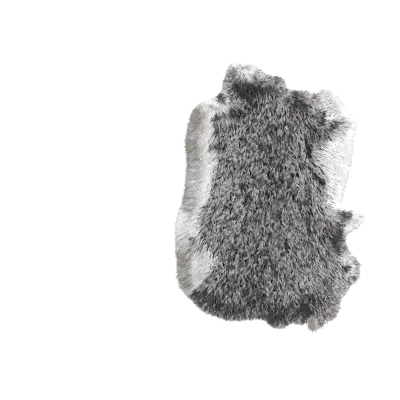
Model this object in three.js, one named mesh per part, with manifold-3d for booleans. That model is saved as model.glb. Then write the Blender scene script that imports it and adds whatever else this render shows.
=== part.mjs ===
// A tanned rabbit skin pelt, lying flat with its fur up.
// Millimetres. +X is the right flank, +Y the neck, +Z up. The origin is on the surface that
// the pelt lies on, under the middle of its bounding box.
import * as THREE from "three";
import { mergeVertices } from "three/addons/utils/BufferGeometryUtils.js";
import Module from "manifold-3d";

// Fur thickness: full over the back, thinner where the skin ends.
const PILE_HEIGHT = 17;
const RIM_HEIGHT = 6;
const RIM_WIDTH = 32;

// Cells of the fur's upper surface, finer across the hair than along it.
const CELL_ACROSS = 6;
const CELL_ALONG = 8.4;

// Direction of the hair in degrees: tailwards on the back, leaning out at the flanks.
const HAIR_HEADING = -90;
const FLANK_LEAN = 38;
const FLANK_REACH = 120;

// Tufts that overlap like shingles, with the spacing of their rows and the least share of the
// rise that the shortest tuft has and that is left at the rim.
const TUFT = { length: 34, halfWidth: 11, rise: 4.8, across: 15, along: 19, scatter: 5, turn: 14 };
const SHORT_TUFT_SHARE = 0.55;
const RIM_TUFT_SHARE = 0.3;

// Locks of hair at the rim: three-sided, rooted in the slab and level on the surface. Their
// length varies by the spread, their tips curl aside, and they lean towards the hair's direction.
const LOCK = { pitch: 5.4, root: 4, reach: 8, halfWidth: 3.6, height: 7, sides: 3, steps: 2 };
const LOCK_SPREAD = 0.35;
const LOCK_TURN = 9;
const LOCK_CURL = 2.6;
const LOCK_LEAN = 32;
const LOCK_FULLNESS = 0.62;
const NECK_LOCK_SHARE = 0.85;

const FUR_SEED = 41;
const FUR_COLOUR = 0x8d8a85;
const FUR_ROUGHNESS = 0.95;

// The skin's cut edge: how far it reaches left and right of the spine, from the neck to the rump.
const SECTIONS = [
  { y: 182, left: -45, right: -36 },
  { y: 178, left: -50, right: -30 },
  { y: 173, left: -53, right: -25 },
  { y: 167, left: -57, right: -12 },
  { y: 162, left: -60, right: 10 },
  { y: 150, left: -61, right: 15 },
  { y: 144, left: -64, right: 24 },
  { y: 138, left: -69, right: 60 },
  { y: 130, left: -86, right: 92 },
  { y: 120, left: -101, right: 97 },
  { y: 110, left: -106, right: 105 },
  { y: 102, left: -108, right: 114 },
  { y: 94, left: -110, right: 112 },
  { y: 80, left: -112, right: 108 },
  { y: 58, left: -111, right: 107 },
  { y: 34, left: -111, right: 102 },
  { y: 10, left: -113, right: 96 },
  { y: -8, left: -116, right: 91 },
  { y: -21, left: -121, right: 91 },
  { y: -26, left: -123, right: 112 },
  { y: -30, left: -124, right: 129 },
  { y: -38, left: -126, right: 114 },
  { y: -46, left: -126.5, right: 102 },
  { y: -56, left: -127, right: 98 },
  { y: -64, left: -126.5, right: 97 },
  { y: -76, left: -126, right: 101 },
  { y: -86, left: -125, right: 108 },
  { y: -96, left: -124, right: 116 },
  { y: -103, left: -124, right: 119 },
  { y: -110, left: -124, right: 117 },
  { y: -119, left: -123, right: 109 },
  { y: -128, left: -119, right: 102 },
  { y: -136, left: -110, right: 96 },
  { y: -144, left: -103, right: 91 },
  { y: -152, left: -95, right: 90 },
  { y: -159, left: -84, right: 89 },
];

// Lobes of skin that stand out of that edge, each half an ellipse rooted inside it.
const LOBES = [
  { name: "right shoulder", x: 77, y: 126, heading: 90, length: 18, halfWidth: 13 },
  { name: "left rump", x: -50, y: -147, heading: -90, length: 21, halfWidth: 31 },
  { name: "middle rump", x: 12, y: -147, heading: -90, length: 31, halfWidth: 17 },
  { name: "inner rump", x: 42, y: -147, heading: -90, length: 26, halfWidth: 19 },
  { name: "tail", x: 60, y: -147, heading: -90, length: 33, halfWidth: 5 },
  { name: "right rump", x: 81, y: -147, heading: -90, length: 23, halfWidth: 8 },
];

// Partings and hollows where the fur lies lower, with their length, width and depth.
const PARTINGS = [
  { name: "nape", x: -40, y: 134, heading: 8, length: 62, width: 20, depth: 5 },
  { name: "right shoulder", x: 50, y: 50, heading: -76, length: 44, width: 15, depth: 4 },
  { name: "right back", x: 52, y: -22, heading: -88, length: 80, width: 14, depth: 4 },
  { name: "left back", x: -38, y: -30, heading: -93, length: 100, width: 15, depth: 4 },
  { name: "left flank", x: -93, y: -18, heading: -112, length: 74, width: 15, depth: 4 },
  { name: "left rump", x: -68, y: -134, heading: -60, length: 40, width: 16, depth: 4 },
  { name: "middle rump", x: -16, y: -143, heading: -90, length: 40, width: 15, depth: 4 },
];

const wasm = await Module();
wasm.setup();

const radians = THREE.MathUtils.degToRad;
const random = (low, high) => low + (high - low) * THREE.MathUtils.seededRandom();

// A closed geometry as a solid that can be joined and cut.
function solidOf(geometry) {
  const bare = geometry.clone();
  bare.deleteAttribute("normal");
  bare.deleteAttribute("uv");
  const merged = mergeVertices(bare);
  return new wasm.Manifold(
    new wasm.Mesh({
      numProp: 3,
      vertProperties: merged.attributes.position.array,
      triVerts: new Uint32Array(merged.index.array),
    }),
  );
}

// A solid as a geometry.
function geometryOf(solid) {
  const mesh = solid.getMesh();
  const geometry = new THREE.BufferGeometry();
  geometry.setAttribute("position", new THREE.BufferAttribute(mesh.vertProperties, 3));
  geometry.setIndex(new THREE.BufferAttribute(mesh.triVerts, 1));
  geometry.computeVertexNormals();
  return geometry;
}

// Where (x, y) lies along and across a line that starts at the row's place.
function alongAndAcross(row, x, y) {
  const turn = radians(row.heading);
  const east = x - row.x;
  const north = y - row.y;
  return {
    along: east * Math.cos(turn) + north * Math.sin(turn),
    across: north * Math.cos(turn) - east * Math.sin(turn),
  };
}

function hairHeading(x) {
  const share = THREE.MathUtils.clamp(x / FLANK_REACH, -1, 1);
  return HAIR_HEADING + FLANK_LEAN * share;
}

// The closed edge curves of the body of the skin and of its lobes, all anticlockwise.
function edgeCurves() {
  const left = SECTIONS.map((row) => new THREE.Vector3(row.left, row.y, 0));
  const right = SECTIONS.map((row) => new THREE.Vector3(row.right, row.y, 0)).reverse();
  const body = new THREE.CatmullRomCurve3([...left, ...right], true, "centripetal");
  const lobes = LOBES.map((row) => {
    const turn = radians(row.heading);
    return new THREE.EllipseCurve(row.x, row.y, row.length, row.halfWidth, 0, 2 * Math.PI, false, turn);
  });
  return [body, ...lobes];
}

// Evenly spaced points of a closed curve, each with its outward direction.
function rimOf(curve) {
  const count = Math.round(curve.getLength() / LOCK.pitch);
  return Array.from({ length: count }, (_, i) => {
    const point = curve.getPointAt(i / count);
    const tangent = curve.getTangentAt(i / count);
    const out = Math.atan2(-tangent.x, tangent.y);
    return { x: point.x, y: point.y, out };
  });
}

// True where (x, y) is inside a closed row of points.
function isInside(points, x, y) {
  let inside = false;
  points.forEach((point, i) => {
    const next = points[(i + 1) % points.length];
    const crosses = point.y > y !== next.y > y;
    const at = point.x + ((y - point.y) * (next.x - point.x)) / (next.y - point.y);
    if (crosses && x < at) inside = !inside;
  });
  return inside;
}

// The points of every outline that no other outline covers.
function freeRim(outlines) {
  return outlines.flatMap((outline) => {
    const others = outlines.filter((other) => other !== outline);
    return outline.filter((point) => !others.some((other) => isInside(other, point.x, point.y)));
  });
}

// Tufts over the whole pelt in staggered rows, each turned with the hair.
function scatterTufts(box) {
  const tufts = [];
  for (let row = 0, y = box.min.y; y < box.max.y + TUFT.length; row += 1, y += TUFT.along) {
    const stagger = row % 2 ? TUFT.across / 2 : 0;
    for (let x = box.min.x + stagger; x < box.max.x; x += TUFT.across) {
      tufts.push({
        x: x + random(-TUFT.scatter, TUFT.scatter),
        y: y + random(-TUFT.scatter, TUFT.scatter),
        heading: hairHeading(x) + random(-TUFT.turn, TUFT.turn),
        rise: TUFT.rise * random(SHORT_TUFT_SHARE, 1),
      });
    }
  }
  return tufts;
}

// A tuft rises from its root to its tip, rounded across, and ends in a step.
function tuftHeight(tuft, x, y) {
  const { along, across } = alongAndAcross(tuft, x, y);
  if (along < 0 || along > TUFT.length || Math.abs(across) > TUFT.halfWidth) return 0;
  return (tuft.rise * along * (1 - (across / TUFT.halfWidth) ** 2)) / TUFT.length;
}

function partingDepth(parting, x, y) {
  const { along, across } = alongAndAcross(parting, x, y);
  const overLength = (2 * along) / parting.length;
  const overWidth = (2 * across) / parting.width;
  return parting.depth * Math.exp(-(overLength ** 2) - overWidth ** 2);
}

// The height of the fur's upper surface.
function furHeight(rim, tufts, x, y) {
  const edge = Math.min(...rim.map((point) => Math.hypot(point.x - x, point.y - y)));
  const share = Math.sin((Math.PI / 2) * Math.min(edge / RIM_WIDTH, 1));
  const tuft = Math.max(...tufts.map((row) => tuftHeight(row, x, y)));
  const parting = PARTINGS.reduce((sum, row) => sum + partingDepth(row, x, y), 0);
  const pile = (PILE_HEIGHT - RIM_HEIGHT - parting) * share;
  return RIM_HEIGHT + pile + tuft * THREE.MathUtils.lerp(RIM_TUFT_SHARE, 1, share);
}

// A block whose top is the fur's upper surface, wider and deeper than the pelt.
function furBlock(outlines, rim, box) {
  const size = box.getSize(new THREE.Vector2()).addScalar(2 * CELL_ALONG);
  const centre = box.getCenter(new THREE.Vector2());
  const tufts = scatterTufts(box);
  const across = Math.round(size.x / CELL_ACROSS);
  const along = Math.round(size.y / CELL_ALONG);
  const block = new THREE.BoxGeometry(size.x, size.y, 2 * PILE_HEIGHT, across, along, 1);
  block.translate(centre.x, centre.y, 0);
  const place = block.attributes.position;
  for (let i = 0; i < place.count; i += 1) {
    if (place.getZ(i) < 0) continue;
    place.setZ(i, furHeight(rim, tufts, place.getX(i), place.getY(i)));
  }
  return solidOf(block);
}

// The skin's outline as an upright prism from the surface up.
function skinPrism(outline) {
  const shape = new THREE.Shape(outline.map((point) => new THREE.Vector2(point.x, point.y)));
  const options = { depth: 2 * PILE_HEIGHT, bevelEnabled: false };
  return solidOf(new THREE.ExtrudeGeometry(shape, options));
}

// The direction of a lock: out of the edge, turned part of the way to the hair's direction.
function lockHeading(point) {
  const away = radians(hairHeading(point.x)) - point.out;
  const turn = Math.atan2(Math.sin(away), Math.cos(away));
  return point.out + THREE.MathUtils.clamp(turn, -radians(LOCK_LEAN), radians(LOCK_LEAN));
}

// One lock: a three-sided cone laid on its side, with its base side on the surface.
function lockAt(point) {
  const isNeck = Math.sin(point.out) > Math.SQRT1_2;
  const reach = isNeck ? LOCK.reach * NECK_LOCK_SHARE : LOCK.reach;
  const length = LOCK.root + reach * random(1 - LOCK_SPREAD, 1 + LOCK_SPREAD);
  const heading = lockHeading(point) + radians(random(-LOCK_TURN, LOCK_TURN));
  const curl = random(-LOCK_CURL, LOCK_CURL);
  const ahead = new THREE.Vector2(Math.cos(heading), Math.sin(heading));
  const aside = new THREE.Vector2(ahead.y, -ahead.x);
  const root = new THREE.Vector2(point.x, point.y).addScaledVector(ahead, -LOCK.root);

  // The cone has radius and height 1, its axis along Y and one corner of its base on +Z.
  const cone = new THREE.ConeGeometry(1, 1, LOCK.sides, LOCK.steps);
  const footZ = -Math.cos(Math.PI / LOCK.sides);
  const footX = Math.sin(Math.PI / LOCK.sides);
  const place = cone.attributes.position;
  for (let i = 0; i < place.count; i += 1) {
    const share = place.getY(i) + 0.5;
    const taper = 1 - share;
    const fullness = taper > 0 ? taper ** LOCK_FULLNESS / taper : 0;
    const across = (place.getX(i) / footX) * LOCK.halfWidth * fullness + curl * share ** 2;
    const up = ((place.getZ(i) - footZ * taper) / (1 - footZ)) * LOCK.height * fullness;
    const foot = root.clone().addScaledVector(ahead, share * length).addScaledVector(aside, across);
    place.setXYZ(i, foot.x, foot.y, Math.max(up, 0));
  }
  return solidOf(cone);
}

function buildPelt() {
  const outlines = edgeCurves().map(rimOf);
  const rim = freeRim(outlines);
  const box = new THREE.Box2().setFromPoints(rim);
  const prism = outlines.map(skinPrism).reduce((whole, part) => whole.add(part));
  const slab = furBlock(outlines, rim, box).intersect(prism);
  const geometry = geometryOf(rim.map(lockAt).reduce((whole, lock) => whole.add(lock), slab));
  geometry.computeBoundingBox();
  const middle = geometry.boundingBox.getCenter(new THREE.Vector3());
  geometry.translate(-middle.x, -middle.y, 0);
  return geometry;
}

THREE.MathUtils.seededRandom(FUR_SEED);
const fur = new THREE.MeshStandardMaterial({ color: FUR_COLOUR, roughness: FUR_ROUGHNESS, metalness: 0 });
const pelt = new THREE.Mesh(buildPelt(), fur);
pelt.name = "pelt";

const part = new THREE.Group();
part.add(pelt);

export default part;
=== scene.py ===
# %% [markdown]
# # A rabbit skin pelt with fur from Geometry Nodes
#
# The pelt lies flat with its fur up. Its solid form comes from the CAD frame. This lesson reads
# the height of that form, and grows strands of fur that fill it. How thick the strands stand, how
# they lean and what colour they have come from short tables of places on the pelt. Noise and
# random draws give each clump and each strand its own look on top of that.

import math

import bmesh
import bpy
import numpy as np
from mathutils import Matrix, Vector
from mathutils.bvhtree import BVHTree
from mathutils.kdtree import KDTree


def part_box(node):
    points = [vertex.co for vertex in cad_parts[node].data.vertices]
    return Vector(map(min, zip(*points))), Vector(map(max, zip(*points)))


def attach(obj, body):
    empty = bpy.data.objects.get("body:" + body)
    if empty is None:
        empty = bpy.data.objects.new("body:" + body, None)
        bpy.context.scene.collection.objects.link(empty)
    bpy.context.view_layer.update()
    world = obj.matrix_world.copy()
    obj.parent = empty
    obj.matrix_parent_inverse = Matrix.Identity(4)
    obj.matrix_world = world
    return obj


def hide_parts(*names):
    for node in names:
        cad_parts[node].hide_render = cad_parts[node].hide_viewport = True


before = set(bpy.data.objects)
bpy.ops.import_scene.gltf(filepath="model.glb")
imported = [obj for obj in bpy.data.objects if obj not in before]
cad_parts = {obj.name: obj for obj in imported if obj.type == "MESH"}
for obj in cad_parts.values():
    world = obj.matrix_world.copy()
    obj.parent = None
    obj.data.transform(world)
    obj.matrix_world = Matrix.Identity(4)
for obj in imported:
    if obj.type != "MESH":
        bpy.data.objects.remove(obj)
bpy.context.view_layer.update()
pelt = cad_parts["pelt"]
low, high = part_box("pelt")
MM = 0.001
print("pelt size in mm:", [round(side / MM) for side in high - low])

# %% [markdown]
# ## Sizes
#
# Blender works in metres, and the tables below are in millimetres, as a furrier would measure.
# +X is the right flank, +Y the neck and +Z up. The places were read off the photograph, at
# 1.4 mm for each of its pixels.

# %% Name the sizes
# The skin, and the shares of the fur's height that its undercoat fills.
SKIN_THICKNESS = 1.2 * MM
UNDERCOAT_SHARE = 0.6
WHITE_UNDERCOAT_SHARE = 0.82

# The grid that reads the form. Only what stands higher than the rim's locks counts as skin.
GRID_STEP = 2 * MM
SHEET_STRIDE = 2
GRID_MARGIN = 18 * MM
SLAB_FLOOR = 5.4 * MM

# How far hair reaches from its root, and how far past the edge of the skin.
BACK_REACH = 13 * MM
FLANK_REACH = 24 * MM
RIM_REACH = 9.5 * MM
LEFT_REACH = 4.5 * MM
TAIL_REACH = 10.5 * MM

# How near the edge hair starts to turn outwards, at the sides and at the neck.
RIM_TURN = 36 * MM
NECK_TURN = 7 * MM

# The strands.
STRANDS_PER_M2 = 1.95e6
RIM_CROWDING = 1.0
STRAND_RADIUS = 0.32 * MM
CLUMP_SPACING = 1.7 * MM
FUR_SEED = 7
print("strands on a square millimetre of the back:", round(STRANDS_PER_M2 * MM * MM, 2))

# %% [markdown]
# ## Markings
#
# The grey saddle runs down the back between white flanks. Each row of `SADDLE` gives its left and
# right edge at a station down the spine. `ZONES` split the fur into pieces, from a front to a
# rear station. The other rows are soft ellipses, each with a middle, two half sizes and a turn:
#
# - `MARKS` add or take away `white` hair, and a `tone` makes the hair lighter or darker.
# - `CREASES` part the fur and are painted darker inside, as shade. A raised lip has a negative
#   depth, and is painted lighter, as a highlight.
# - `STAINS_AND_SHADE` are where the white hair is olive: partly a yellowish stain, and partly painted
#   shade along the left rim, which slopes away from the lamp.
# - `LAYS` turn the hair to a heading, in degrees anticlockwise from +X.
# - `TUFTS` stand denser, and their hair reaches `extra` millimetres further.

# %% Tables of places on the pelt
def table(columns, *rows):
    """The rows of a table as dicts, with its columns named once."""
    names = columns.split()
    return [dict(zip(names, row)) for row in rows]


SADDLE = table(
    "y left right",
    (190, -80, 180),
    (158, -76, 110),
    (150, -68, 64),
    (143, -64, 68),
    (129, -62, 73),
    (115, -62, 82),
    (109, -67, 82),
    (104, -76, 84),
    (95, -79, 87),
    (88, -80, 86),
    (77, -76, 83),
    (69, -71, 72),
    (56, -77, 66),
    (42, -78, 72),
    (28, -82, 77),
    (14, -83, 79),
    (0, -86, 81),
    (-14, -95, 86),
    (-24, -100, 160),
    (-48, -102, 180),
    (-62, -98, 180),
    (-76, -88, 180),
    (-87, -81, 180),
    (-98, -82, 180),
    (-110, -88, 180),
    (-120, -97, 180),
    (-132, -106, 180),
    (-142, -120, 180),
    (-150, -180, 180),
)

MARKS = table(
    "name x y long wide turn white tone",
    ("white_crown", -36, 184, 21, 17, 0, 1.5, -0.1),
    ("crown_left", -53, 175, 13, 8, 60, -0.25, -0.12),
    ("crown_right", -24, 181, 10, 9, 0, 0, -0.26),
    ("lobe_left", -14, 171, 10, 7, 0, 0.15, 0.2),
    ("crown_streaks", -35, 162, 12, 9, 90, 0.4, 0),
    ("neck_left_edge", -59, 164, 15, 7, 70, 0.0, -0.05),
    ("neck_left_dark", -53, 153, 11, 6, -70, -0.4, -0.3),
    ("neck_right_lobe", 0, 161, 21, 11, -6, 0.05, -0.08),
    ("lobe_shadow", -6, 146, 14, 6, 0, 0, -0.3),
    ("nape", -32, 145, 23, 13, -14, -0.4, -0.55),
    ("nape_light", -6, 135, 11, 8, 0, 0, 0.15),
    ("nape_beige", 16, 118, 17, 6, 85, 0.1, 0.15),
    ("nape_tail", -47, 113, 12, 8, 0, -0.3, -0.42),
    ("neck_streaks", -61, 129, 24, 7, -62, 0.2, -0.28),
    # The neck notch is painted shadow, a dark olive brown between the neck and the left flank.
    ("neck_notch", -72, 137, 16, 6, -68, -1.0, -0.15),
    ("shoulder_tufts", -75, 103, 13, 8, 30, -0.7, -0.4),
    ("shoulder_tufts_rear", -71, 88, 11, 8, 20, -0.6, -0.2),
    ("left_back_front", -44, 82, 15, 13, 0, 0, 0.14),
    # Painted shade along a fold of the left back.
    ("left_back_fold", -44, 30, 18, 11, 90, 0, -0.12),
    ("flank_curl_front", -80, 66, 14, 10, 15, -0.7, -0.25),
    ("flank_curl_back", -81, 50, 7, 3, 20, -0.6, 0.05),
    ("right_shoulder_dark", 43, 131, 21, 12, -70, -0.2, -0.36),
    ("right_shoulder_rim", 52, 141, 12, 8, 0, 0.1, 0.1),
    ("right_shoulder_grey", 82, 132, 30, 17, -50, -0.05, -0.24),
    ("right_shoulder_spot", 71, 109, 12, 6, 75, -0.7, -0.32),
    ("right_shoulder_light", 66, 124, 12, 8, 0, 0.15, 0.2),
    ("shoulder_streaks", 95, 101, 20, 9, 25, -0.55, -0.22),
    ("shoulder_curls", 63, 82, 14, 12, 0, -0.2, -0.2),
    ("shoulder_shade", 92, 85, 15, 9, 10, -0.15, -0.3),
    ("streaks_end", 106, 98, 14, 9, 25, 0, -0.3),
    ("pale_spot", 18, 85, 10, 6, 0, 0, 0.2),
    ("right_whitish", 66, 50, 14, 9, -75, 0.3, 0.15),
    ("left_back_light", -62, -28, 40, 22, 100, 0, 0.08),
    ("right_hip_light", 82, -12, 14, 12, 0, 0.1, 0.12),
    ("leg_rim", 102, -17, 15, 4, -8, 0.5, 0.1),
    ("leg_top", 107, -27, 13, 7, -5, -0.9, -0.28),
    ("leg_band", 100, -43, 19, 5, 39, -0.5, -0.04),
    ("leg_root", 98, -70, 24, 12, 85, -0.1, -0.14),
    ("leg_wedge", 86, -26, 14, 12, 15, 0.1, 0.15),
    ("leg_tip", 128, -30, 13, 16, 0, 1.0, -0.2),
    ("leg_fringe", 117, -42, 14, 6, 36, 1.0, -0.25),
    ("left_grey_patch", -112, -71, 22, 15, -32, -0.45, -0.38),
    ("patch_core", -111, -65, 8, 6, -30, -0.15, -0.1),
    ("rump_light", 62, -108, 24, 16, 55, 0.1, 0.2),
    ("hip_light", 90, -100, 20, 12, 30, 0.1, 0.08),
    ("hip_rim", 110, -97, 20, 13, 110, 0.35, 0.2),
    ("hip_spot", 107, -104, 9, 6, 45, -0.9, -0.55),
    ("right_rump_light", 37, -104, 44, 16, 85, 0, 0.14),
    ("right_rump_rear", 62, -146, 18, 12, 0, 0, -0.15),
    # The two hollows and the left rear rim are painted shade.
    ("left_hollow", -54, -122, 25, 15, 0, 0, -0.18),
    ("left_rim_dark", -88, -146, 34, 14, -25, 0, -0.25),
    ("middle_hollow", -26, -137, 17, 16, 85, 0, -0.32),
    ("rump_rear", -22, -168, 95, 20, 0, 0, -0.26),
    ("tail_root", 50, -163, 14, 8, 0, 0, -0.3),
    ("left_hip_white", -98, -104, 22, 16, 70, 0, -0.25),
    ("rump_middle", -10, -102, 24, 30, 0, 0, -0.14),
    ("left_back_spot", -44, -69, 16, 14, 0, 0, -0.18),
    ("spine_front", 0, 56, 62, 24, 90, 0, -0.1),
    ("back_middle", -2, -16, 24, 24, 0, 0, -0.15),
    ("fold_front", 43, 38, 17, 13, 0, 0, 0.22),
    ("fold_light", 50, 26, 34, 16, 95, 0.05, 0.16),
    ("hip_front", 82, -22, 20, 16, 0, 0.05, 0.14),
    ("hip_side", 98, -120, 20, 12, 60, 0.25, 0.1),
    ("rump_edge", 4, -176, 24, 9, 0, 0, -0.28),
    ("tail_tip", 60, -186, 13, 9, 100, 0.9, 0),
)

CREASES = table(
    "name x y long wide turn deep",
    ("right_fold", 52, 63, 19, 4, 106, 5.5),
    ("right_fold_lip", 46, 62, 19, 4.5, 96, -3.2),
    ("right_fold_front", 39, 80, 13, 4, -58, -2.5),
    ("fold_hook", 45, 41, 6, 4, 0, 4.5),
    ("right_diagonal", 61, 28, 20, 3.5, -51, 3.5),
    ("diagonal_end", 72, 16, 6, 5, -50, 5),
    ("right_furrow", 52, -12, 44, 5, 92, 2.2),
    ("right_furrow_lip", 61, -14, 26, 6, 88, -1.8),
    ("left_furrow", -38, 2, 22, 7, 105, 1.0),
    ("left_furrow_lip", -46, 0, 26, 7, 105, -1.4),
    ("nape_crease", -33, 132, 22, 5, -35, 4),
    ("tail_crease", 50, -163, 14, 6, -60, 3),
    ("leg_crease", 94, -60, 20, 6, 80, 2.5),
)

STAINS_AND_SHADE = table(
    "name x y long wide turn olive",
    ("left_shoulder", -114, 104, 46, 26, 78, 0.95),
    ("left_shoulder_fold", -83, 122, 18, 5, -25, 0.7),
    ("left_flank_front", -121, 60, 64, 23, 90, 0.95),
    ("left_flank_middle", -125, 12, 56, 18, 102, 0.9),
    ("left_flank_inner", -79, 76, 12, 7, 110, 0.5),
    ("left_hip", -130, -90, 46, 21, 92, 0.95),
    ("left_hip_rear", -124, -126, 28, 14, 120, 0.9),
    # Painted shadow in the neck notch.
    ("neck_notch", -72, 136, 9, 5, -60, 1.0),
    ("tail_tip", 60, -184, 26, 18, 90, 1.0),
    ("right_whitish", 68, 54, 18, 12, 0, 0.15),
)

LAYS = table(
    "name x y long wide turn heading share",
    ("right_shoulder", 84, 122, 34, 28, 40, 38, 0.9),
    ("right_flank", 92, 36, 75, 22, 90, -8, 0.75),
    ("left_flank", -103, 20, 80, 24, 90, -170, 0.8),
    ("left_back", -60, 30, 90, 30, 90, -122, 0.6),
    ("left_rump", -95, -98, 34, 24, 60, -142, 0.7),
    ("right_rump", 82, -118, 50, 34, 60, -52, 0.7),
    ("nape_left", -58, 128, 34, 16, -60, -56, 0.85),
    ("crown", -38, 166, 24, 18, 0, -97, 0.9),
    ("neck_lobe", 2, 158, 26, 16, 0, -84, 0.9),
    ("neck_side", 42, 142, 22, 14, -10, 8, 0.8),
    ("tail", 59, -176, 18, 12, 90, -74, 0.95),
    ("fold_side", 66, 60, 26, 16, 96, -12, 0.8),
)

TUFTS = table(
    "name x y long wide turn extra crowd",
    ("leg", 112, -30, 26, 18, -10, 1, 1.5),
    ("tail", 60, -176, 14, 9, 90, 7, 3),
    ("crown", -34, 176, 20, 12, 0, 3, 1.2),
    ("left_rump", 12, -176, 24, 14, 0, 1.5, 0.2),
)

ZONES = table(
    "name front rear part",
    ("fur_neck", 190, 112, "all"),
    ("fur_left_flank", 112, -190, "left"),
    ("fur_right_flank", 112, -190, "right"),
    ("fur_back_front", 112, 42, "middle"),
    ("fur_back_middle", 42, -16, "middle"),
    ("fur_back_rear", -16, -70, "middle"),
    ("fur_rump_front", -70, -118, "middle"),
    ("fur_rump_rear", -118, -190, "middle"),
)
print(len(SADDLE), "stations,", len(MARKS), "marks and", len(LAYS), "lays")

# %% [markdown]
# ## Camera and light
#
# The photograph looks straight down on the pelt, which lies right of the middle of its frame. With
# a long lens the camera looks almost straight down at the rim too. Its height follows from the
# lens and from how wide the frame is at the pelt.

# %% Place the camera
FRAME_PIXELS = 400
PIXEL = 1.4 * MM
PELT_PIXEL = Vector((270.5, 196))
LENS = 85
SENSOR = 36
FOCUS_HEIGHT = 8 * MM

frame_width = FRAME_PIXELS * PIXEL
camera_data = bpy.data.cameras.new("camera")
camera_data.lens = LENS
camera_data.sensor_width = SENSOR
camera = bpy.data.objects.new("camera", camera_data)
bpy.context.scene.collection.objects.link(camera)
camera.location = (
    (FRAME_PIXELS / 2 - PELT_PIXEL.x) * PIXEL,
    (PELT_PIXEL.y - FRAME_PIXELS / 2) * PIXEL,
    FOCUS_HEIGHT + frame_width * LENS / SENSOR,
)
bpy.context.scene.camera = camera
print("camera height in mm:", round(camera.location.z / MM))

# %% [markdown]
# A large soft lamp up and to the right gives the tufts their lit and shaded sides. A pale world
# fills the shadows, and the floor is a plain pale sheet. Fur has detail as small as a pixel. A
# denoiser would take that for noise and smear it, so it is off, and the pixel filter is narrow.
# White hair stays bright because light passes on from hair to hair, so it may bounce often.

# %% Light the scene and lay the floor
FLOOR_SIZE = 8
KEY_PLACE = Vector((0.9, 0.75, 1.5))
KEY_SIZE = 0.6
KEY_WATTS = 25
WORLD_STRENGTH = 0.92
PIXEL_BLUR = 1.15
HAIR_BOUNCES = 8
WORLD_COLOUR = (1, 1, 1, 1)
FLOOR_COLOUR = (0.9, 0.9, 0.9, 1)
FLOOR_GAP = 0.1 * MM


def new_material(name):
    material = bpy.data.materials.new(name)
    material.use_nodes = True
    return material, material.node_tree, material.node_tree.nodes["Principled BSDF"]


def set_inputs(node, values):
    for name, value in values.items():
        node.inputs[name].default_value = value


def add_key_light():
    lamp = bpy.data.lights.new("key", "AREA")
    lamp.energy = KEY_WATTS
    lamp.shape = "DISK"
    lamp.size = KEY_SIZE
    key = bpy.data.objects.new("key", lamp)
    bpy.context.scene.collection.objects.link(key)
    key.location = KEY_PLACE
    key.rotation_mode = "QUATERNION"
    key.rotation_quaternion = (-KEY_PLACE).to_track_quat("-Z", "Y")


def set_world():
    world = bpy.data.worlds.new("studio")
    world.use_nodes = True
    background = world.node_tree.nodes["Background"]
    set_inputs(background, {"Color": WORLD_COLOUR, "Strength": WORLD_STRENGTH})
    bpy.context.scene.world = world


def add_floor():
    bpy.ops.mesh.primitive_plane_add(size=FLOOR_SIZE, location=(0, 0, -FLOOR_GAP))
    floor = bpy.context.active_object
    floor.name = "floor"
    paint, _, shader = new_material("floor")
    set_inputs(shader, {"Base Color": FLOOR_COLOUR, "Roughness": 1.0, "Specular IOR Level": 0.0})
    floor.data.materials.append(paint)


add_key_light()
set_world()
add_floor()
bpy.context.scene.view_settings.view_transform = "Standard"
bpy.context.scene.cycles.use_denoising = False
bpy.context.scene.cycles.filter_width = PIXEL_BLUR
bpy.context.scene.cycles.diffuse_bounces = HAIR_BOUNCES
print("lamp, world and floor are in place")

# %% [markdown]
# ## The guide: a grid that knows the pelt
#
# A ray straight down at each point of a flat grid finds how high the CAD form stands there. The
# grid then carries, as named attributes, all that a strand needs to know: the height of the fur,
# the way the hair lies, how far it reaches, and its colour.

# %% Read the pelt's height on a grid
RAY_START = 0.1
SKIN_ROUNDS = 5


def smoothstep(start, end, value):
    """0 before the start, 1 past the end and a soft slope between them."""
    share = np.clip((value - start) / (end - start), 0, 1)
    return share * share * (3 - 2 * share)


def blurred(field, rounds):
    """Each round mixes a point half and half with the mean of its four neighbours."""
    for _ in range(rounds):
        padded = np.pad(field, 1, mode="edge")
        sides = padded[:-2, 1:-1] + padded[2:, 1:-1] + padded[1:-1, :-2] + padded[1:-1, 2:]
        field = (4 * field + sides) / 8
    return field


def cad_heights(xs, ys):
    tree = BVHTree.FromPolygons(
        [v.co for v in pelt.data.vertices], [p.vertices for p in pelt.data.polygons]
    )
    above = high.z + RAY_START
    field = np.zeros((len(ys), len(xs)))
    for row, y in enumerate(ys):
        for column, x in enumerate(xs):
            hit = tree.ray_cast(Vector((x, y, above)), Vector((0, 0, -1)))[0]
            field[row, column] = hit.z if hit else 0
    return field


xs = np.arange(low.x - GRID_MARGIN, high.x + GRID_MARGIN, GRID_STEP)
ys = np.arange(low.y - GRID_MARGIN, high.y + GRID_MARGIN, GRID_STEP)
grid_x, grid_y = np.meshgrid(xs, ys)
raw_height = cad_heights(xs, ys)
is_skin = blurred(np.where(raw_height > SLAB_FLOOR, 1.0, 0.0), SKIN_ROUNDS) > 0.5
print("grid of", grid_x.shape, "points,", int(is_skin.sum()), "of them on the skin")

# %% [markdown]
# The nearest points off the skin tell each point on it how far the rim is, and in which
# direction. An average over several of them keeps that direction smooth.

# %% Measure the way to the rim
RIM_NEIGHBOURS = 30


def tree_of(points):
    tree = KDTree(len(points))
    for index, (row, column) in enumerate(points):
        tree.insert((xs[column], ys[row], 0), index)
    tree.balance()
    return tree


bare_points = np.argwhere(~is_skin)
bare_tree = tree_of(bare_points)
rim_distance = np.zeros(grid_x.shape)
rim_way = np.zeros((*grid_x.shape, 2))
for row, column in np.argwhere(is_skin):
    place = Vector((xs[column], ys[row], 0))
    near = bare_tree.find_n(place, RIM_NEIGHBOURS)
    rim_distance[row, column] = near[0][2]
    way = sum(((spot - place) for spot, _, _ in near), Vector()).normalized()
    rim_way[row, column] = way.xy
print("furthest point from the rim in mm:", round(rim_distance.max() / MM))

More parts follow.
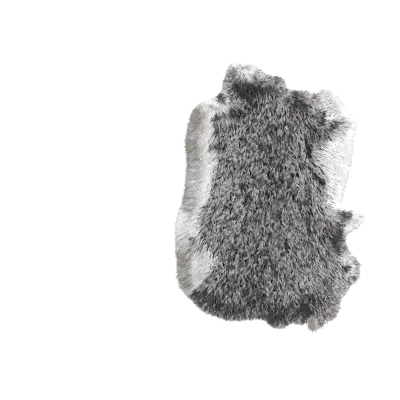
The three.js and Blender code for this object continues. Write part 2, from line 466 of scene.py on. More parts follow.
# %% [markdown]
# The form ends in an upright edge, and fur rolls down to its rim instead. The height of the
# nearest skin is carried outwards past the rim. It is then scaled by a well blurred picture of
# the skin, which falls evenly from 1 inside to 0 on the floor outside.

# %% Roll the height down to the rim
CREST_ROUNDS = 3
ROLL_ROUNDS = 80
ROLL_END = 0.1

skin_points = np.argwhere(is_skin)
skin_tree = tree_of(skin_points)
crest = raw_height.copy()
for row, column in bare_points:
    nearest = skin_tree.find((xs[column], ys[row], 0))[1]
    crest[row, column] = raw_height[tuple(skin_points[nearest])]
cover = blurred(np.where(is_skin, 1.0, 0.0), ROLL_ROUNDS)
height = blurred(crest, CREST_ROUNDS) * np.clip((cover - ROLL_END) / (1 - ROLL_END), 0, 1)
print("height at the skin's edge in mm:", round(float(height[is_skin].min()) / MM, 1))

# %% [markdown]
# Now the tables become fields over the grid. A soft ellipse is 1 in its middle and fades to 0
# round its edge. Hair on the white flanks and at the rim is silky, and lies smoother than the
# curly hair of the back. On the flanks it stands thinner, and at the rim it stands denser. The
# saddle is lighter along its margins than on the spine.

# %% Turn the tables into fields
# An ellipse's soft edge runs between two shares of its half sizes.
SOFT_EDGE = (0.55, 1.25)
OLIVE_EDGE = (0.1, 1.4)
CURLY_BACK = {"x": -12, "y": -15, "long": 165, "wide": 76, "turn": 92}
PLAIN_CURL = 0.3

# How softly white starts at the saddle's edge, and where the long hair of the flanks starts.
LEFT_SOFTNESS = 8 * MM
RIGHT_SOFTNESS = 14 * MM
FLANK_START = -12 * MM
FLANK_END = 8 * MM
MARGIN_TONE = 0.18
MARGIN_WIDTH = 34 * MM

# A crease gets painted shade, darker with each millimetre, and a raised lip a painted highlight.
# A crease takes at most this share of the fur's height.
CREASE_PAINTED_SHADING = 0.14
CREASE_LIMIT = 0.7

# The rim and the silky hair.
SOFT_RIM = 12 * MM
CROWDED_RIM = 1.5 * SOFT_RIM
RIM_PAINTED_SHADE = 0.18
SILKY_WHITE = (0.4, 0.9)
SILK_THINNING = 0.25


def soft_ellipse(row, edge=SOFT_EDGE):
    turn = math.radians(row["turn"])
    east = grid_x - row["x"] * MM
    north = grid_y - row["y"] * MM
    along = (east * math.cos(turn) + north * math.sin(turn)) / (row["long"] * MM)
    across = (north * math.cos(turn) - east * math.sin(turn)) / (row["wide"] * MM)
    return 1 - smoothstep(*edge, np.hypot(along, across))


stations = [row["y"] * MM for row in reversed(SADDLE)]
saddle_left = np.interp(grid_y, stations, [row["left"] * MM for row in reversed(SADDLE)])
saddle_right = np.interp(grid_y, stations, [row["right"] * MM for row in reversed(SADDLE)])
white = smoothstep(-LEFT_SOFTNESS, LEFT_SOFTNESS, saddle_left - grid_x)
white = np.maximum(white, smoothstep(-RIGHT_SOFTNESS, RIGHT_SOFTNESS, grid_x - saddle_right))
flank = np.maximum(
    smoothstep(FLANK_START, FLANK_END, saddle_left - grid_x),
    smoothstep(FLANK_START, FLANK_END, grid_x - saddle_right),
)
crowd = 1 + RIM_CROWDING * (1 - smoothstep(0, CROWDED_RIM, rim_distance))
curl = PLAIN_CURL + (1 - PLAIN_CURL) * soft_ellipse(CURLY_BACK)
into_left = saddle_left + MARGIN_WIDTH - grid_x
into_right = grid_x - saddle_right + MARGIN_WIDTH
tone = MARGIN_TONE * smoothstep(0, MARGIN_WIDTH, np.maximum(into_left, into_right)) * (1 - flank)
for mark in MARKS:
    weight = soft_ellipse(mark)
    white = white + mark["white"] * weight
    tone = tone + mark["tone"] * weight
for crease in CREASES:
    depth = crease["deep"] * soft_ellipse(crease)
    height = height - np.minimum(depth * MM, CREASE_LIMIT * height)
    # The depth also paints shade into a groove's tone, and a painted highlight onto a lip.
    tone = tone - CREASE_PAINTED_SHADING * depth
white = np.clip(white, 0, 1)
rim = 1 - smoothstep(0, SOFT_RIM, rim_distance)
olive = np.zeros(grid_x.shape)
# Olive is partly a stain and partly painted shade along the left rim.
for olive_patch in STAINS_AND_SHADE:
    olive = np.maximum(olive, olive_patch["olive"] * soft_ellipse(olive_patch, OLIVE_EDGE))
# White hair at the rim of the flanks gets painted shade, so that its slope towards the lamp is less
# bright.
tone = tone - RIM_PAINTED_SHADE * rim * flank * (1 - olive)
silk = np.maximum(flank * smoothstep(*SILKY_WHITE, white), rim)
crowd = crowd * (1 - SILK_THINNING * silk * (1 - rim))
print("share of white points on the skin:", round(float(white[is_skin].mean()), 2))

# %% [markdown]
# Hair lies tailwards, leans out at the sides, and turns to point outwards near the rim. It turns
# by its heading angle, so it swirls past a parting and never stands upright in it.

# %% Lay the hair
BACK_HEADING = -90
SIDE_LEAN = 26
SIDE_WIDTH = 115 * MM
RIM_SHARE = 0.85


def turned_towards(heading, goal, share):
    """The heading, turned the short way round by a share of the angle to the goal."""
    way = (goal - heading + np.pi) % (2 * np.pi) - np.pi
    return heading + share * way


heading = np.radians(BACK_HEADING + SIDE_LEAN * np.clip(grid_x / SIDE_WIDTH, -1, 1))
for lay in LAYS:
    heading = turned_towards(heading, math.radians(lay["heading"]), soft_ellipse(lay) * lay["share"])
faces_neck = np.clip(rim_way[..., 1], 0, 1)
turn_width = RIM_TURN + (NECK_TURN - RIM_TURN) * faces_neck
rim_weight = RIM_SHARE * (1 - smoothstep(0, 1, rim_distance / turn_width))
heading = turned_towards(heading, np.arctan2(rim_way[..., 1], rim_way[..., 0]), rim_weight)
flow = np.stack([np.cos(heading), np.sin(heading)], axis=-1)
reach = BACK_REACH + (FLANK_REACH - BACK_REACH) * flank
past_rim = (
    RIM_REACH
    + (TAIL_REACH - RIM_REACH) * np.clip(-rim_way[..., 1], 0, 1)
    + (LEFT_REACH - RIM_REACH) * np.clip(-rim_way[..., 0], 0, 1)
)
for tuft in TUFTS:
    weight = soft_ellipse(tuft)
    reach = reach + tuft["extra"] * MM * weight
    past_rim = past_rim + tuft["extra"] * MM * weight
    crowd = crowd * (1 + tuft["crowd"] * weight)
reach = np.minimum(reach, rim_distance + past_rim)
print("hair reaches", round(reach[is_skin].min() / MM), "to", round(reach[is_skin].max() / MM), "mm")

# %% [markdown]
# Each face of the grid belongs to one zone of fur, so that no piece grows too heavy. Faces off
# the skin belong to none.

# %% Build the guide mesh
NO_ZONE = -1


def zone_field():
    left_edge = np.maximum(saddle_left, low.x)
    right_edge = np.minimum(saddle_right, high.x)
    parts = {
        "all": is_skin,
        "left": is_skin & (grid_x < left_edge),
        "middle": is_skin & (grid_x >= left_edge) & (grid_x <= right_edge),
        "right": is_skin & (grid_x > right_edge),
    }
    field = np.full(grid_x.shape, NO_ZONE)
    for number, zone in enumerate(ZONES):
        between = (grid_y <= zone["front"] * MM) & (grid_y > zone["rear"] * MM)
        field[between & parts[zone["part"]]] = number
    return field


def add_attribute(mesh, name, kind, domain, values):
    attribute = mesh.attributes.new(name, kind, domain)
    key = "vector" if kind == "FLOAT_VECTOR" else "value"
    attribute.data.foreach_set(key, np.ascontiguousarray(values).ravel())


def grid_faces():
    across = len(xs)
    corners = []
    for row in range(len(ys) - 1):
        for column in range(across - 1):
            start = row * across + column
            corners.append((start, start + 1, start + across + 1, start + across))
    return corners


def build_guide():
    points = np.stack([grid_x, grid_y, np.zeros(grid_x.shape)], axis=-1).reshape(-1, 3)
    mesh = bpy.data.meshes.new("guide")
    mesh.from_pydata(points.tolist(), [], grid_faces())
    lying = np.concatenate([flow, np.zeros((*grid_x.shape, 1))], axis=-1)
    add_attribute(mesh, "flow", "FLOAT_VECTOR", "POINT", lying.astype(np.float32))
    for name, field in (
        ("height", height),
        ("reach", reach),
        ("white", white),
        ("tone", tone),
        ("silk", silk),
        ("rim", rim),
        ("crowd", crowd),
        ("curl", curl),
        ("olive", olive),
    ):
        add_attribute(mesh, name, "FLOAT", "POINT", field.astype(np.float32))
    faces = zone_field()[:-1, :-1].astype(np.int32)
    add_attribute(mesh, "zone", "INT", "FACE", faces)
    return mesh


guide_mesh = build_guide()
print("guide has", len(guide_mesh.polygons), "faces")

# %% [markdown]
# ## Materials
#
# Fur colour is a function of two numbers only, and both are stored on the strand as a UV map:
# `u` is the kind of hair, from black through grey agouti, silver and white to olive, and `v` runs
# from root to tip. Real agouti hair has bands along its length, and so does each ramp here. The
# darker root of white hair is painted shade between the hairs.

# %% Mix the fur and the skin
BLACK_HAIR = [(0, "36373b"), (0.45, "1d1d1f"), (0.75, "292728"), (1, "0e0d0e")]
GREY_HAIR = [(0, "46474a"), (0.4, "3c3a39"), (0.72, "918d8a"), (1, "2b2927")]
SILVER_HAIR = [(0, "666669"), (0.4, "807f80"), (0.72, "c4c1c2"), (1, "a4a1a1")]
# White hair is darker towards its root, as painted shade between the hairs.
WHITE_HAIR = [(0, "cdcbc9"), (0.4, "dad8d9"), (0.75, "e9e7e8"), (1, "ecebec")]
# Olive hair is yellowed white hair, made darker still as painted shade for the left rim.
OLIVE_HAIR = [(0, "57544c"), (0.4, "66635a"), (0.75, "7a776d"), (1, "706d64")]
GREY_PLACE = 0.265
SILVER_PLACE = 0.56
WHITE_PLACE = 0.74
OLIVE_PLACE = 1.0
HAIR_KINDS = [
    (0, BLACK_HAIR),
    (GREY_PLACE, GREY_HAIR),
    (SILVER_PLACE, SILVER_HAIR),
    (WHITE_PLACE, WHITE_HAIR),
    (OLIVE_PLACE, OLIVE_HAIR),
]
SUEDE = [(0.3, "cdb893"), (0.55, "dccbaa"), (0.75, "e9dec6")]
UNDERCOAT_HAIR = [(0, "38383b"), (0.5, "76747a"), (1, "e4e2e1")]
SUEDE_PATCHES = {"Scale": 22, "Detail": 6}
SUEDE_NAP = {"Scale": 1400, "Detail": 4}
NAP_BUMP = {"Strength": 0.35, "Distance": 0.3 * MM}
# The colour sockets of a mix node have the same names as its others, so they go by number.
COLOUR_A = 6
COLOUR_B = 7
COLOUR_MIXED = 2


def linear(code):
    """The hex code of an sRGB colour, as linear red, green, blue and alpha."""
    channels = [int(code[i : i + 2], 16) / 255 for i in (0, 2, 4)]
    curve = [c / 12.92 if c <= 0.04045 else ((c + 0.055) / 1.055) ** 2.4 for c in channels]
    return (*curve, 1)


def add_ramp(tree, factor, stops):
    ramp = tree.nodes.new("ShaderNodeValToRGB")
    elements = ramp.color_ramp.elements
    while len(elements) < len(stops):
        elements.new(1)
    for element, (place, code) in zip(elements, stops):
        element.position = place
        element.color = linear(code)
    tree.links.new(factor, ramp.inputs["Fac"])
    return ramp.outputs["Color"]


def mix_between(tree, value, start, end, first, second):
    """The first colour up to the start value, the second from the end, a blend in between."""
    share = tree.nodes.new("ShaderNodeMapRange")
    set_inputs(share, {"From Min": start, "From Max": end})
    tree.links.new(value, share.inputs["Value"])
    mix = tree.nodes.new("ShaderNodeMix")
    mix.data_type = "RGBA"
    tree.links.new(share.outputs["Result"], mix.inputs["Factor"])
    tree.links.new(first, mix.inputs[COLOUR_A])
    tree.links.new(second, mix.inputs[COLOUR_B])
    return mix.outputs[COLOUR_MIXED]


def add_noise(tree, settings):
    place = tree.nodes.new("ShaderNodeTexCoord")
    noise = tree.nodes.new("ShaderNodeTexNoise")
    set_inputs(noise, settings)
    tree.links.new(place.outputs["Object"], noise.inputs["Vector"])
    return noise.outputs["Fac"]


def make_fur_material():
    material, tree, shader = new_material("fur")
    uv = tree.nodes.new("ShaderNodeUVMap")
    uv.uv_map = "OFBake"
    split = tree.nodes.new("ShaderNodeSeparateXYZ")
    tree.links.new(uv.outputs["UV"], split.inputs["Vector"])
    kind = split.outputs["X"]
    along = split.outputs["Y"]
    place, stops = HAIR_KINDS[0]
    colour = add_ramp(tree, along, stops)
    for next_place, stops in HAIR_KINDS[1:]:
        ramp = add_ramp(tree, along, stops)
        colour = mix_between(tree, kind, place, next_place, colour, ramp)
        place = next_place
    tree.links.new(colour, shader.inputs["Base Color"])
    set_inputs(shader, {"Roughness": 0.62, "Specular IOR Level": 0.35, "Sheen Weight": 0.12})
    return material


def make_skin_material():
    material, tree, shader = new_material("skin")
    colour = add_ramp(tree, add_noise(tree, SUEDE_PATCHES), SUEDE)
    tree.links.new(colour, shader.inputs["Base Color"])
    bump = tree.nodes.new("ShaderNodeBump")
    set_inputs(bump, NAP_BUMP)
    tree.links.new(add_noise(tree, SUEDE_NAP), bump.inputs["Height"])
    tree.links.new(bump.outputs["Normal"], shader.inputs["Normal"])
    set_inputs(shader, {"Roughness": 0.9, "Specular IOR Level": 0.2})
    return material


def make_undercoat_material():
    material, tree, shader = new_material("undercoat")
    white_share = tree.nodes.new("ShaderNodeAttribute")
    white_share.attribute_name = "white"
    colour = add_ramp(tree, white_share.outputs["Fac"], UNDERCOAT_HAIR)
    tree.links.new(colour, shader.inputs["Base Color"])
    set_inputs(shader, {"Roughness": 0.95, "Specular IOR Level": 0.1})
    return material


fur_material = make_fur_material()
skin_material = make_skin_material()
undercoat_material = make_undercoat_material()
print("materials:", [m.name for m in (fur_material, skin_material, undercoat_material)])

# %% [markdown]
# ## Skin and undercoat
#
# The skin is a thin flat sheet, cut out of the grid where the form stands higher than the locks
# at its rim. The dense undercoat sits on it as a cushion that is lower than the fur, so that no
# gap between strands shows bare skin. Both outlines are smoothed along their edge, because a grid
# leaves steps.

# %% Cut the skin and raise the undercoat
EDGE_ROUNDS = 6
# The undercoat starts a little inside the skin's edge, and rises from a low step over a band.
UNDERCOAT_INSET = 1.5 * MM
UNDERCOAT_EDGE = 0.6 * MM
UNDERCOAT_RISE = 12 * MM
UNDERCOAT_GAP = 0.1 * MM


def smooth_edge(bm, rounds):
    """Each round moves an edge point half way to the middle of its neighbours on the edge."""
    edge = [v for v in bm.verts if v.is_boundary]
    beside = {v: [e.other_vert(v) for e in v.link_edges if e.is_boundary] for v in edge}
    for _ in range(rounds):
        middles = {v: sum((n.co for n in beside[v]), Vector()) / len(beside[v]) for v in edge}
        for v in edge:
            v.co = (v.co + middles[v]) / 2


def sheet_from_grid(name, member, top_of, floor_z):
    """A closed sheet over the member points, with its top at top_of(row, column)."""
    bm = bmesh.new()
    white_layer = bm.verts.layers.float.new("white")
    verts = {}
    for row, column in np.argwhere(member[::SHEET_STRIDE, ::SHEET_STRIDE]) * SHEET_STRIDE:
        verts[row, column] = bm.verts.new((xs[column], ys[row], top_of(row, column)))
        verts[row, column][white_layer] = white[row, column]
    for row, column in verts:
        above, right = row + SHEET_STRIDE, column + SHEET_STRIDE
        corners = [(row, column), (row, right), (above, right), (above, column)]
        if all(corner in verts for corner in corners):
            bm.faces.new([verts[corner] for corner in corners])
    bmesh.ops.delete(bm, geom=[v for v in bm.verts if not v.link_faces], context="VERTS")
    smooth_edge(bm, EDGE_ROUNDS)
    lower = bmesh.ops.extrude_face_region(bm, geom=bm.faces[:])
    for part in lower["geom"]:
        if isinstance(part, bmesh.types.BMVert):
            part.co.z = floor_z
    bmesh.ops.recalc_face_normals(bm, faces=bm.faces[:])
    mesh = bpy.data.meshes.new(name)
    bm.to_mesh(mesh)
    bm.free()
    mesh.shade_smooth()
    made = bpy.data.objects.new(name, mesh)
    bpy.context.scene.collection.objects.link(made)
    return made


skin = sheet_from_grid("skin", is_skin, lambda row, column: SKIN_THICKNESS, 0)
skin.data.materials.append(skin_material)


def undercoat_top(row, column):
    rise = smoothstep(0, 1, (rim_distance[row, column] - UNDERCOAT_INSET) / UNDERCOAT_RISE)
    pale = white[row, column] * flank[row, column]
    share = UNDERCOAT_SHARE + (WHITE_UNDERCOAT_SHARE - UNDERCOAT_SHARE) * pale
    full = share * height[row, column]
    return SKIN_THICKNESS + UNDERCOAT_EDGE + rise * max(full - UNDERCOAT_EDGE, 0)


undercoat = sheet_from_grid(
    "undercoat", rim_distance > UNDERCOAT_INSET, undercoat_top, SKIN_THICKNESS + UNDERCOAT_GAP
)
undercoat.data.materials.append(undercoat_material)
print("skin faces:", len(skin.data.polygons), "undercoat faces:", len(undercoat.data.polygons))

# %% [markdown]
# ## One strand
#
# A strand is a closed spindle: a point at the root, a ring of three points at its knee and a
# point at the tip. One of its three sides faces up, so that it catches the light evenly. Its
# points carry `along`, from 0 at the root to 1 at the tip, and `ring`, their direction from its
# middle line, sideways and up. The node tree bends every copy by these two.

# %% Model the strand
STRAND_SIDES = 3
FLAT_TOP = 0.25
KNEE_ALONG = 0.5


def build_strand():
    points = [(0, 0, 0)]
    for side in range(STRAND_SIDES):
        turn = 2 * math.pi * (side + FLAT_TOP) / STRAND_SIDES
        points.append((math.cos(turn), math.sin(turn), KNEE_ALONG))
    points.append((0, 0, 1))
    root = 0
    tip = STRAND_SIDES + 1
    faces = []
    for side in range(STRAND_SIDES):
        here = 1 + side
        after = 1 + (side + 1) % STRAND_SIDES
        faces.append((root, after, here))
        faces.append((here, after, tip))
    mesh = bpy.data.meshes.new("strand")
    mesh.from_pydata(points, [], faces)
    shape = np.array(points, np.float32)
    add_attribute(mesh, "along", "FLOAT", "POINT", shape[:, 2])
    add_attribute(mesh, "ring", "FLOAT_VECTOR", "POINT", shape * [1, 1, 0])
    return bpy.data.objects.new("strand", mesh)


strand = build_strand()
print("strand has", len(strand.data.vertices), "points")

# %% [markdown]
# ## The node tree that grows the fur
#
# In words: scatter roots over a zone of the guide. For each root find the nearest clump point.
# Aim the strand along the hair's lay, turned by a swirl, by its clump and a little by itself.
# Pull its tip towards the clump's tip, though far less for a few strays. Bend the knee aside, and
# lift knee and tip to their share of the fur's height there. Read the markings near the tip,
# where the strand is seen. Put a strand on each root, bend it, and store its colour as a UV map.
#
# Roots scatter by their zone's seed. Every other random number comes from a range in `DRAWS`, and
# the place of that range in the list gives its seed.

# %% Name the fur's habits
CLUMP_TURN = math.radians(26)
STRAND_TURN = math.radians(9)
BEND = 0.34
CLUMP_TONE = 0.47
STRAND_TONE = 0.2
DRAWS = {
    "clump_turn": (-CLUMP_TURN, CLUMP_TURN),
    "strand_turn": (-STRAND_TURN, STRAND_TURN),
    "clump_reach": (0.8, 1.12),
    "strand_reach": (0.66, 1.12),
    "clump_pull": (0.75, 1.0),
    "knee_place": (0.42, 0.56),
    "tip_height": (0.9, 1.06),
    "knee_height": (0.74, 0.92),
    "stray": (0, 1),
    "bend": (-BEND, BEND),
    "strand_chance": (0, 1),
    "clump_chance": (0, 1),
    "clump_tone": (-CLUMP_TONE, CLUMP_TONE),
    "strand_tone": (-STRAND_TONE, STRAND_TONE),
    "thickness": (0.7, 1.2),
    "silky_knee_height": (0.9, 1.03),
}
FIRST_SEED = 11

# Where hair goes. A factor applies in full to a stray, to silky hair or at the rim.
CLUMPS_PER_M2 = 3e5
SWIRL_TURN = math.radians(115)
SWIRL_SCALE = 88
SWIRL_DETAIL = 1.0
STRAY_SHARE = 0.06
STRAY_REACH = 1.35
STRAY_PULL = 0.2
SILK_TURN = 0.4
SILK_PULL = 0.6
SILK_RADIUS = 1.15
RIM_PULL = 0.35
KNEE_PULL = 0.3
LEAST_LIFT = 0.35 * MM
UP = (0, 0, 1)

# What colour it has. Scales are for noise over the pelt, and shifts are along the kinds of hair.
SEEN_SHARE = 0.75
CLUMP_CHANCE_SHARE = 0.55
STRAY_TONE = 0.3
MIXED_TONE = 0.8
CALM_TONE = 0.6
MOTTLE_TONE = 0.7
MOTTLE_SCALE = 55
MOTTLE_DETAIL = 2.0
WHITE_TONE = 0.4
WHITE_SHIFT = 0.08
OLIVE_SHIFT = 0.28

# A strand has a little width on its UV map, and keeps clear of the map's ends.
KIND_MARGIN = 0.02
UV_WIDTH = 0.004
UV_MARGIN = 0.03
print(len(DRAWS), "ranges to draw from")

# %% Small helpers that keep the node tree readable
class Grower:
    """Adds nodes to a tree and links them, so that each step below is one line."""

    def __init__(self, name):
        self.tree = bpy.data.node_groups.new(name, "GeometryNodeTree")
        self.inputs = self.tree.nodes.new("NodeGroupInput")
        self.outputs = self.tree.nodes.new("NodeGroupOutput")

    def socket(self, name, kind):
        self.tree.interface.new_socket(name, in_out="INPUT", socket_type=kind)
        return self.inputs.outputs[name]

    def node(self, kind, settings=None, **links):
        made = self.tree.nodes.new(kind)
        for key, value in (settings or {}).items():
            setattr(made, key, value)
        for key, value in links.items():
            self.feed(made, key.replace("_", " "), value)
        return made

    def feed(self, made, key, value):
        wanted = next(s for s in made.inputs if s.enabled and s.name.lower() == key.lower())
        self.fill([wanted], [value])

    def fill(self, sockets, values):
        for socket, value in zip(sockets, values):
            if isinstance(value, bpy.types.NodeSocket):
                self.tree.links.new(value, socket)
            else:
                socket.default_value = value

    def out(self, made):
        return next(s for s in made.outputs if s.enabled)

    def math(self, operation, *values):
        made = self.node("ShaderNodeMath", {"operation": operation})
        self.fill(made.inputs, values)
        return self.out(made)

    def plus(self, first, second):
        return self.math("ADD", first, second)

    def times(self, first, second):
        return self.math("MULTIPLY", first, second)

    def vector(self, operation, *values):
        made = self.node("ShaderNodeVectorMath", {"operation": operation})
        self.fill(made.inputs, values)
        return self.out(made)

    def scale(self, vector, factor):
        made = self.node("ShaderNodeVectorMath", {"operation": "SCALE"}, Scale=factor)
        self.fill(made.inputs, [vector])
        return self.out(made)

    def turned(self, vector, angle):
        settings = {"rotation_type": "Z_AXIS"}
        return self.out(self.node("ShaderNodeVectorRotate", settings, Vector=vector, Angle=angle))

    def mixed(self, first, second, share, kind="VECTOR"):
        made = self.node("ShaderNodeMix", {"data_type": kind}, Factor=share, A=first, B=second)
        return self.out(made)

    def faded(self, value, factor, share):
        """The value, multiplied by the factor as far as the share says."""
        return self.times(value, self.mixed(1.0, factor, share, "FLOAT"))

    def clamped(self, value, least=0.0, most=1.0):
        return self.out(self.node("ShaderNodeClamp", Value=value, Min=least, Max=most))

    def compared(self, operation, first, second):
        settings = {"data_type": "INT", "operation": operation}
        return self.out(self.node("FunctionNodeCompare", settings, A=first, B=second))

    def draw(self, name, chooser=None):
        """A random number from the range in DRAWS, one for each point or each chooser."""
        least, most = DRAWS[name]
        seed = FIRST_SEED + list(DRAWS).index(name)
        made = self.node("FunctionNodeRandomValue", Min=least, Max=most, Seed=seed)
        if chooser is not None:
            self.feed(made, "ID", chooser)
        return self.out(made)

    def noise(self, scale, detail):
        """Smooth noise over the pelt, on both sides of 0."""
        made = self.node("ShaderNodeTexNoise", Scale=scale, Detail=detail)
        return self.math("SUBTRACT", made.outputs[0], 0.5)

    def named(self, name, kind="FLOAT"):
        return self.out(self.node("GeometryNodeInputNamedAttribute", {"data_type": kind}, Name=name))

    def read(self, mesh, name, place):
        """A named value of the mesh, at the point of its surface that is nearest to the place."""
        made = self.node("GeometryNodeSampleNearestSurface", Mesh=mesh, Value=self.named(name))
        self.feed(made, "Sample Position", place)
        return self.out(made)

    def store(self, geometry, name, value, kind="FLOAT", domain="POINT"):
        settings = {"data_type": kind, "domain": domain}
        made = self.node("GeometryNodeStoreNamedAttribute", settings, Geometry=geometry, Name=name)
        self.feed(made, "Value", value)
        return made.outputs["Geometry"]


print("helpers ready")

# %% [markdown]
# Each step of the tree is a function. The first ones work on the scattered roots, where a named
# value is that of the guide under the root.

# %% Scatter, aim and lift
def scatter(g, guide, zone, seed):
    """Roots in this zone, and clump points over the whole skin."""
    zone_here = g.named("zone", "INT")
    roots = g.node(
        "GeometryNodeDistributePointsOnFaces",
        Mesh=guide,
        Selection=g.compared("EQUAL", zone_here, zone),
        Density=g.times(STRANDS_PER_M2, g.named("crowd")),
        Seed=seed,
    )
    clumps = g.node(
        "GeometryNodeDistributePointsOnFaces",
        {"distribute_method": "POISSON"},
        Mesh=guide,
        Selection=g.compared("GREATER_THAN", zone_here, NO_ZONE),
        Distance_Min=CLUMP_SPACING,
        Density_Max=CLUMPS_PER_M2,
    )
    return roots.outputs["Points"], clumps.outputs["Points"]


def aim(g, clumps, clump, stray):
    """Where the root, the knee and the tip of a strand lie, seen from above."""
    position = g.out(g.node("GeometryNodeInputPosition"))
    settings = {"data_type": "FLOAT_VECTOR"}
    sample = g.node("GeometryNodeSampleIndex", settings, Geometry=clumps, Value=position, Index=clump)
    middle = g.out(sample)
    silk_here = g.named("silk")
    curl_here = g.named("curl")
    reach_here = g.named("reach")

    swirl = g.times(g.noise(SWIRL_SCALE, SWIRL_DETAIL), SWIRL_TURN)
    shared_turn = g.plus(swirl, g.draw("clump_turn", clump))
    shared_turn = g.times(g.faded(shared_turn, SILK_TURN, silk_here), curl_here)
    shared_way = g.turned(g.named("flow", "FLOAT_VECTOR"), shared_turn)
    own_way = g.turned(shared_way, g.draw("strand_turn"))

    clump_reach = g.times(reach_here, g.draw("clump_reach", clump))
    own_reach = g.faded(g.times(reach_here, g.draw("strand_reach")), STRAY_REACH, stray)
    own_tip = g.vector("ADD", position, g.scale(own_way, own_reach))
    clump_tip = g.vector("ADD", middle, g.scale(shared_way, clump_reach))
    pull = g.faded(g.draw("clump_pull"), SILK_PULL, silk_here)
    pull = g.faded(pull, STRAY_PULL, stray)
    pull = g.faded(pull, RIM_PULL, g.named("rim"))
    tip = g.mixed(own_tip, clump_tip, pull)

    knee = g.mixed(g.mixed(position, middle, KNEE_PULL), tip, g.draw("knee_place"))
    bend = g.times(g.times(reach_here, curl_here), g.draw("bend", clump))
    sideways = g.turned(shared_way, math.pi / 2)
    return position, g.vector("ADD", knee, g.scale(sideways, bend)), tip


def raised(g, guide, flat, share):
    """A flat place, lifted to a share of the fur's height over it."""
    lift = g.plus(g.times(g.read(guide, "height", flat), share), LEAST_LIFT)
    return g.vector("ADD", flat, g.out(g.node("ShaderNodeCombineXYZ", Z=lift)))


print("three steps are ready: scatter, aim and raised")

# %% [markdown]
# A strand is white or grey by chance. The markings set how likely white is, and its clump and the
# strand each have a say. Tone shifts grey hair along the kinds from black to silver. It shifts
# white hair far less, and a mark may darken white hair but never pushes it on to olive.

# %% Pick the kind of hair
def kind_of_hair(g, guide, seen, clump, stray):
    chance = g.mixed(
        g.draw("strand_chance"), g.draw("clump_chance", clump), CLUMP_CHANCE_SHARE, "FLOAT"
    )
    white_here = g.read(guide, "white", seen)
    tone_here = g.read(guide, "tone", seen)
    olive_here = g.read(guide, "olive", seen)

    calm = g.mixed(CALM_TONE, 1.0, g.named("curl"), "FLOAT")
    shift = g.plus(g.times(g.draw("clump_tone", clump), calm), g.draw("strand_tone"))
    shift = g.plus(shift, g.times(g.noise(MOTTLE_SCALE, MOTTLE_DETAIL), MOTTLE_TONE))

    grey = g.plus(GREY_PLACE, g.plus(tone_here, shift))
    grey = g.math("MULTIPLY_ADD", stray, STRAY_TONE, grey)
    grey = g.math("MULTIPLY_ADD", white_here, MIXED_TONE, grey)
    grey = g.clamped(grey, KIND_MARGIN, SILVER_PLACE)

    pale = g.math("MULTIPLY_ADD", olive_here, OLIVE_PLACE - WHITE_PLACE, WHITE_PLACE)
    pale_shift = g.mixed(WHITE_SHIFT, OLIVE_SHIFT, olive_here, "FLOAT")
    pale = g.math("MULTIPLY_ADD", shift, pale_shift, pale)
    pale = g.math("MULTIPLY_ADD", g.math("MINIMUM", tone_here, 0), WHITE_TONE, pale)
    pale = g.clamped(pale, SILVER_PLACE, 1 - KIND_MARGIN)
    return g.mixed(grey, pale, g.math("GREATER_THAN", white_here, chance), "FLOAT")


print("a strand is one of", len(HAIR_KINDS), "kinds of hair, or between two of them")

# %% [markdown]
# The last steps work on the real strands. Each point of a strand finds its place from its own
# root, knee and tip, which were stored on the root before the strand was put there.

# %% Place, bend and map the strands
def bent(g, strands):
    """The strands, bent through their roots, knees and tips, at their own thickness."""
    root, knee, tip = (g.named(name, "FLOAT_VECTOR") for name in ("root", "knee", "tip"))
    along = g.named("along")
    ring = g.node("ShaderNodeSeparateXYZ", Vector=g.named("ring", "FLOAT_VECTOR"))
    to_knee = g.clamped(g.math("DIVIDE", along, KNEE_ALONG))
    past_knee = g.math("SUBTRACT", along, KNEE_ALONG)
    to_tip = g.clamped(g.math("DIVIDE", past_knee, 1 - KNEE_ALONG))
    line = g.mixed(g.mixed(root, knee, to_knee), tip, to_tip)
    ahead = g.vector("SUBTRACT", tip, root)
    aside = g.vector("NORMALIZE", g.vector("CROSS_PRODUCT", ahead, UP))
    over = g.vector("NORMALIZE", g.vector("CROSS_PRODUCT", aside, ahead))
    thick = g.named("thick")
    sideways = g.scale(aside, g.times(ring.outputs["X"], thick))
    upwards = g.scale(over, g.times(ring.outputs["Y"], thick))
    place = g.vector("ADD", line, g.vector("ADD", sideways, upwards))
    return g.out(g.node("GeometryNodeSetPosition", Geometry=strands, Position=place))


def mapped(g, strands):
    """The strands with their UV map: the kind of hair across, root to tip up."""
    ring = g.node("ShaderNodeSeparateXYZ", Vector=g.named("ring", "FLOAT_VECTOR"))
    u = g.math("MULTIPLY_ADD", ring.outputs["X"], UV_WIDTH, g.named("kind"))
    v = g.math("MULTIPLY_ADD", g.named("along"), 1 - 2 * UV_MARGIN, UV_MARGIN)
    v = g.math("MULTIPLY_ADD", ring.outputs["Y"], UV_WIDTH, v)
    uv = g.node("ShaderNodeCombineXYZ", X=u, Y=v)
    return g.store(strands, "OFBake", g.out(uv), "FLOAT2", "CORNER")


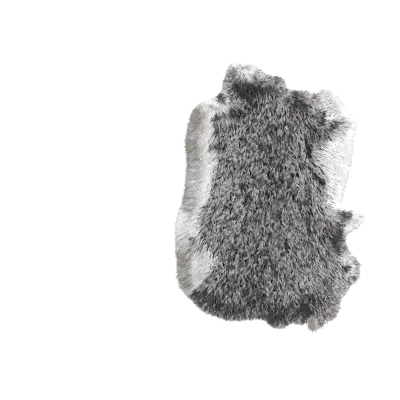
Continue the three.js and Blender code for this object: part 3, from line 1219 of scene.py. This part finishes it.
def wire_fur_tree():
    g = Grower("grow_fur")
    guide = g.socket("Guide", "NodeSocketGeometry")
    zone = g.socket("Zone", "NodeSocketInt")
    strand_object = g.socket("Strand", "NodeSocketObject")
    seed = g.socket("Seed", "NodeSocketInt")
    material = g.socket("Fur", "NodeSocketMaterial")
    g.tree.interface.new_socket("Fur mesh", in_out="OUTPUT", socket_type="NodeSocketGeometry")

    points, clumps = scatter(g, guide, zone, seed)
    clump = g.out(g.node("GeometryNodeSampleNearest", Geometry=clumps))
    stray = g.math("LESS_THAN", g.draw("stray"), STRAY_SHARE)
    silk_here = g.named("silk")
    root, knee, tip = aim(g, clumps, clump, stray)
    seen = g.mixed(knee, tip, SEEN_SHARE)
    kind = kind_of_hair(g, guide, seen, clump, stray)
    knee_share = g.mixed(g.draw("knee_height"), g.draw("silky_knee_height"), silk_here, "FLOAT")
    knee = raised(g, guide, knee, knee_share)
    tip = raised(g, guide, tip, g.draw("tip_height"))
    root = g.vector("ADD", root, (0, 0, SKIN_THICKNESS))
    thick = g.times(g.faded(STRAND_RADIUS, SILK_RADIUS, silk_here), g.draw("thickness"))

    for name, value in (("root", root), ("knee", knee), ("tip", tip)):
        points = g.store(points, name, value, "FLOAT_VECTOR")
    for name, value in (("kind", kind), ("thick", thick)):
        points = g.store(points, name, value)
    shape = g.node("GeometryNodeObjectInfo", Object=strand_object).outputs["Geometry"]
    placed = g.out(g.node("GeometryNodeInstanceOnPoints", Points=points, Instance=shape))
    real = g.out(g.node("GeometryNodeRealizeInstances", Geometry=placed))
    strands = mapped(g, bent(g, real))
    coated = g.out(g.node("GeometryNodeSetMaterial", Geometry=strands, Material=material))
    g.tree.links.new(coated, g.outputs.inputs[0])
    return g.tree


fur_tree = wire_fur_tree()
print("fur tree has", len(fur_tree.nodes), "nodes")

# %% [markdown]
# ## Grow each zone
#
# The tree runs once for each zone. The result is copied into a plain mesh, because the finished
# piece should hold only what shows. It is shaded flat: smooth shading would round off the sharp
# edges of so thin a shape and darken its tip.

# %% Grow the fur
SPARE_ATTRIBUTES = ("root", "knee", "tip", "kind", "thick", "along", "ring")


def set_input(modifier, name, value):
    items = modifier.node_group.interface.items_tree
    socket = next(item for item in items if item.name == name and item.in_out == "INPUT")
    modifier[socket.identifier] = value


def grow(number, zone):
    grower = bpy.data.objects.new(zone["name"], guide_mesh)
    bpy.context.scene.collection.objects.link(grower)
    modifier = grower.modifiers.new("fur", "NODES")
    modifier.node_group = fur_tree
    set_input(modifier, "Zone", number)
    set_input(modifier, "Strand", strand)
    set_input(modifier, "Seed", FUR_SEED + number)
    set_input(modifier, "Fur", fur_material)
    evaluated = grower.evaluated_get(bpy.context.evaluated_depsgraph_get())
    mesh = bpy.data.meshes.new_from_object(evaluated)
    grower.modifiers.clear()
    for name in SPARE_ATTRIBUTES:
        mesh.attributes.remove(mesh.attributes[name])
    mesh.name = zone["name"]
    mesh.shade_flat()
    grower.data = mesh
    return grower


fur_pieces = [grow(number, zone) for number, zone in enumerate(ZONES)]
for piece in fur_pieces:
    piece.data.calc_loop_triangles()
    print(piece.name, len(piece.data.loop_triangles), "triangles")

# %% [markdown]
# ## Put the pieces on the body
#
# Everything rides on the one body. The fur stands for the CAD solid, which is hidden, and the skin
# rides on the body too.


for piece in (*fur_pieces, undercoat):
    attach(piece, "root")
    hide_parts("pelt")
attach(skin, "root")
